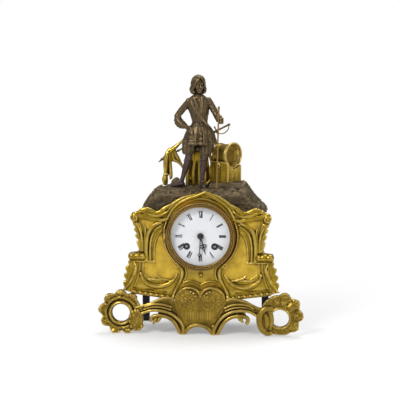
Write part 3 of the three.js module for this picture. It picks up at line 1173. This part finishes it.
// Gilt trophies on the rock: the banner with its staff, the strongbox and the drum that leans on it
const PLEAT = 0.16;          // how far the cloth's folds stand out, of its half width
const FOLDS = 12;            // ridges and hollows round the cloth

function draped(rings) {
  return skin(rings.map(([x, y, z, rx, ry]) => circle(1, FOLDS).map(([c, s], i) => {
    const fold = 1 + (i % 2 ? PLEAT : -PLEAT);
    return [x + rx * fold * c, y + ry * fold * s, z];
  })));
}

const STAFF = [[-24.5, 18, 69], [-58, 20, 38.5]];
// The banner's cloth: it falls from the staff's end, hangs in a swag and lies in a heap. Rows are ovals.
const FALL = [
  [-52, 15, GAP, 4.2, 4],
  [-53.5, 15, 8, 5, 4.6],
  [-53, 15.6, 15, 4.6, 4.4],
  [-50.5, 16.6, 22, 5.8, 4.8],
  [-49.5, 17.6, 33, 6.3, 5.2],
  [-48.5, 18.2, 43, 5.4, 5],
  [-46, 18.8, 53, 3.2, 3.8],
];
const SWAG = [
  [-26, 20.5, 24, 2.6, 3.4],
  [-29.5, 20, 31, 3.8, 4.2],
  [-34, 19.4, 38, 5.4, 4.4],
  [-37.5, 18.8, 45, 4.8, 3.8],
  [-40, 18.6, 52, 3.2, 3.4],
];
const HEAP = [
  [-6, 22, GAP, 17.2, 6],
  [-6, 22, 7.4, 17.2, 5.8],
  [-3.6, 22, 9.5, 18.8, 5.4],
  [-3.6, 22, 23, 18, 5],
  [-5, 22, 30, 16, 5],
  [-4.5, 22, 47, 12.5, 4.5],
];
const TAIL = { line: [[-29.5, 20, 31], [-24, 21, 21], [-15, 22, 9]], radii: [3.4, 3, 3.4] };

function banner() {
  const staff = tube(STAFF, [STAFF_RADIUS, STAFF_RADIUS], { steps: 1, sides: SMALL });
  return sized(join(staff, draped(FALL), draped(SWAG), draped(HEAP), tube(TAIL.line, TAIL.radii)));
}

// The drum: a wide hoop at its mouth and a narrower body with a hoop near its back.
// Its lines are shares of its radius and half length.
const DRUM_HOOP = 0.6;       // how far the hoop stands out
const DRUM_SIDES = 24;
const DRUM_BODY = 0.9;
const DRUM_NECK = -0.8;
const DRUM_MOUTH = [[0, -0.45], [0.6, -0.53], [0.87, -0.85], [0.9, -1]];
const DRUM_BARREL = [[DRUM_BODY, DRUM_NECK], [0.86, -0.45], [0.84, 0.1], [0.82, 0.5], [DRUM_BODY, 0.58],
  [DRUM_BODY, 0.76], [0.7, 0.84], [0.45, 1], [0, 1]];
const DRUM_RISE = CHEST.seat + GAP + DRUM.radius + DRUM_HOOP;
const drumLine = (shares) => shares.map(([r, y]) => [r * DRUM.radius, y * DRUM.long / 2]);

function drum() {
  const hoop = [-1, DRUM_NECK].map((y) => [DRUM.radius + DRUM_HOOP, y * DRUM.long / 2]);
  return turned([...drumLine(DRUM_MOUTH), ...hoop, ...drumLine(DRUM_BARREL)], DRUM_SIDES);
}

// The strapped box under the drum, with a bed in its top that is open towards the drum's mouth
function drumBed() {
  const mouth = 2 * DRUM.long;
  const hoop = DRUM.radius + DRUM_HOOP + GAP;
  const neck = DRUM_NECK * DRUM.long / 2 + GAP;
  const body = DRUM_BODY * DRUM.radius + GAP;
  const end = DRUM.long / 2 + GAP;
  const bed = turned([[0, -mouth], [hoop, -mouth], [hoop, neck], [body, neck], [body, end], [0, end]],
    DRUM_SIDES);
  const [across, along] = turnedBy([DRUM.x - CHEST.x, DRUM.y - CHEST.y], -CHEST.turn);
  return bed.rotate([0, 0, DRUM.turn - CHEST.turn]).translate([across, along, DRUM_RISE]);
}

const CHEST_BAND = { place: 0.3, half: 2, proud: 1 };
const CHEST_RING = { drop: 5, radii: [2, 2.6, 2.6] };

function strongbox() {
  const { wide, deep, high } = CHEST;
  const body = box(-wide / 2, wide / 2, -deep / 2, deep / 2, 0, high);
  const { place, half, proud } = CHEST_BAND;
  const bands = [-place, place].map((s) =>
    box(s * wide - half, s * wide + half, -deep / 2 - proud, deep / 2 + proud, 0, high));
  const ring = ball([-wide / 2, 0, high - CHEST_RING.drop], CHEST_RING.radii);
  return cut(join(body, ...bands, ring), drumBed());
}

function turnedBy([x, y], degrees) {
  const turn = THREE.MathUtils.degToRad(degrees);
  return [x * Math.cos(turn) - y * Math.sin(turn), x * Math.sin(turn) + y * Math.cos(turn)];
}

// Assembly
function group(position, ...children) {
  const made = new THREE.Group();
  made.position.set(...position);
  made.add(...children);
  return made;
}
const at = ([x, z], ...children) => group([x, 0, z], ...children);
const pair = (name, [left, right], material) => [
  piece(`left_${name}`, left, material),
  piece(`right_${name}`, right, material),
];
const turnedHand = (mesh, degrees) => {
  mesh.rotation.y = THREE.MathUtils.degToRad(degrees);
  return mesh;
};

const clockCase = group([0, 0, 0],
  piece("case_body", caseBody(), GILT),
  piece("case_back", caseBack(), BRASS),
  piece("base_apron", baseApron(), GILT),
  ...pair("shell_foot", [shellFoot(-1, LEFT_SHELL), shellFoot(1, RIGHT_SHELL)], GILT),
  ...pair("rear_foot", [rearFoot(-1), rearFoot(1)], IRON),
  piece("rock_mound", rockMound(), BRONZE),
  ...pair("mound_bolt", moundBolts(), STEEL));

const face = group([0, 0, DIAL_Z],
  piece("dial", dial(), ENAMEL),
  piece("dial_ring", dialRing(), BRASS),
  piece("front_bezel", frontBezel(), GILT),
  piece("dial_glass", dialGlass(), CLEAR),
  piece("bezel_hinge_pin", hingePin(-HINGE_X, BEZEL_HINGE_Y), STEEL),
  piece("rear_ring", rearRing(), BRASS),
  piece("rear_door", rearDoor(), BRASS),
  piece("rear_hinge_pin", hingePin(HINGE_X, DOOR_HINGE_Y), STEEL),
  ...pair("movement_strap", straps(), BRASS),
  ...pair("strap_screw", strapScrews(), STEEL),
  turnedHand(piece("minute_hand", minuteHand(), BLUED), MINUTE_ANGLE),
  turnedHand(piece("hour_hand", hourHand(), BLUED), HOUR_ANGLE),
  piece("hand_collet", handCollet(), BLUED),
  piece("cannon_pinion", cannonPinion(), STEEL),
  piece("hour_wheel", hourWheel(), BRASS),
  at(MINUTE, piece("minute_wheel", minuteWheel(), BRASS)));

const sideOf = (name, phase) => [
  piece(`${name}_barrel`, barrel(phase), BRASS),
  piece(`${name}_mainspring`, mainspring(), BLUED),
  piece(`${name}_winding_arbor`, windingArbor(), STEEL),
];
const movement = group([0, 0, DIAL_Z],
  piece("front_plate", frontPlate(), BRASS),
  piece("back_plate", backPlate(), BRASS),
  at(GOING, ...sideOf("going", phases.goingBarrel)),
  at(STRIKE, ...sideOf("strike", phases.strikeBarrel)),
  at(FIRST, piece("first_wheel", firstWheel(), BRASS)),
  piece("centre_wheel", centreWheel(), BRASS),
  at(THIRD, piece("third_wheel", thirdWheel(), BRASS)),
  at(ESCAPE, piece("escape_wheel", escapeWheel(), BRASS)),
  at(SECOND, piece("strike_second_wheel", secondWheel(), BRASS), piece("count_wheel", countWheel(), BRASS)),
  at(PIN, piece("pin_wheel", pinWheel(), BRASS)),
  at(FLY, piece("fly", fly(), BRASS)),
  at(ANCHOR, piece("pallet_anchor", palletAnchor(), STEEL)),
  piece("suspension_cock", suspensionCock(), BRASS),
  group([PENDULUM_AXIS[0], ROD_Y, PENDULUM_AXIS[1]],
    piece("pendulum_rod", pendulumRod(), STEEL),
    piece("pendulum_bob", pendulumBob(), BRASS),
    piece("rating_nut", ratingNut(), BRASS)),
  at([BELL_X, BELL_Z], piece("bell", bell(), BRASS), piece("bell_stand", bellStand(), STEEL)),
  at(HAMMER, piece("hammer", hammer(), STEEL)));

const chestMesh = piece("strongbox", strongbox(), GILT);
chestMesh.position.set(CHEST.x, CHEST.y, LEDGE + GAP);
chestMesh.rotation.z = THREE.MathUtils.degToRad(CHEST.turn);
const drumMesh = piece("drum", drum(), GILT);
drumMesh.position.set(DRUM.x, DRUM.y, LEDGE + GAP + DRUM_RISE);
drumMesh.rotation.z = THREE.MathUtils.degToRad(DRUM.turn);
const sculpture = group([FIGURE_X, FIGURE_Y, ROCK_TOP],
  piece("figure", figure(), BRONZE),
  piece("cane", cane(), BRASS),
  piece("sword", sword(), BRONZE),
  piece("banner", banner(), GILT),
  chestMesh,
  drumMesh);

const clock = group([0, 0, 0], clockCase, face, movement, sculpture);
clock.name = "table_clock";

export default clock;
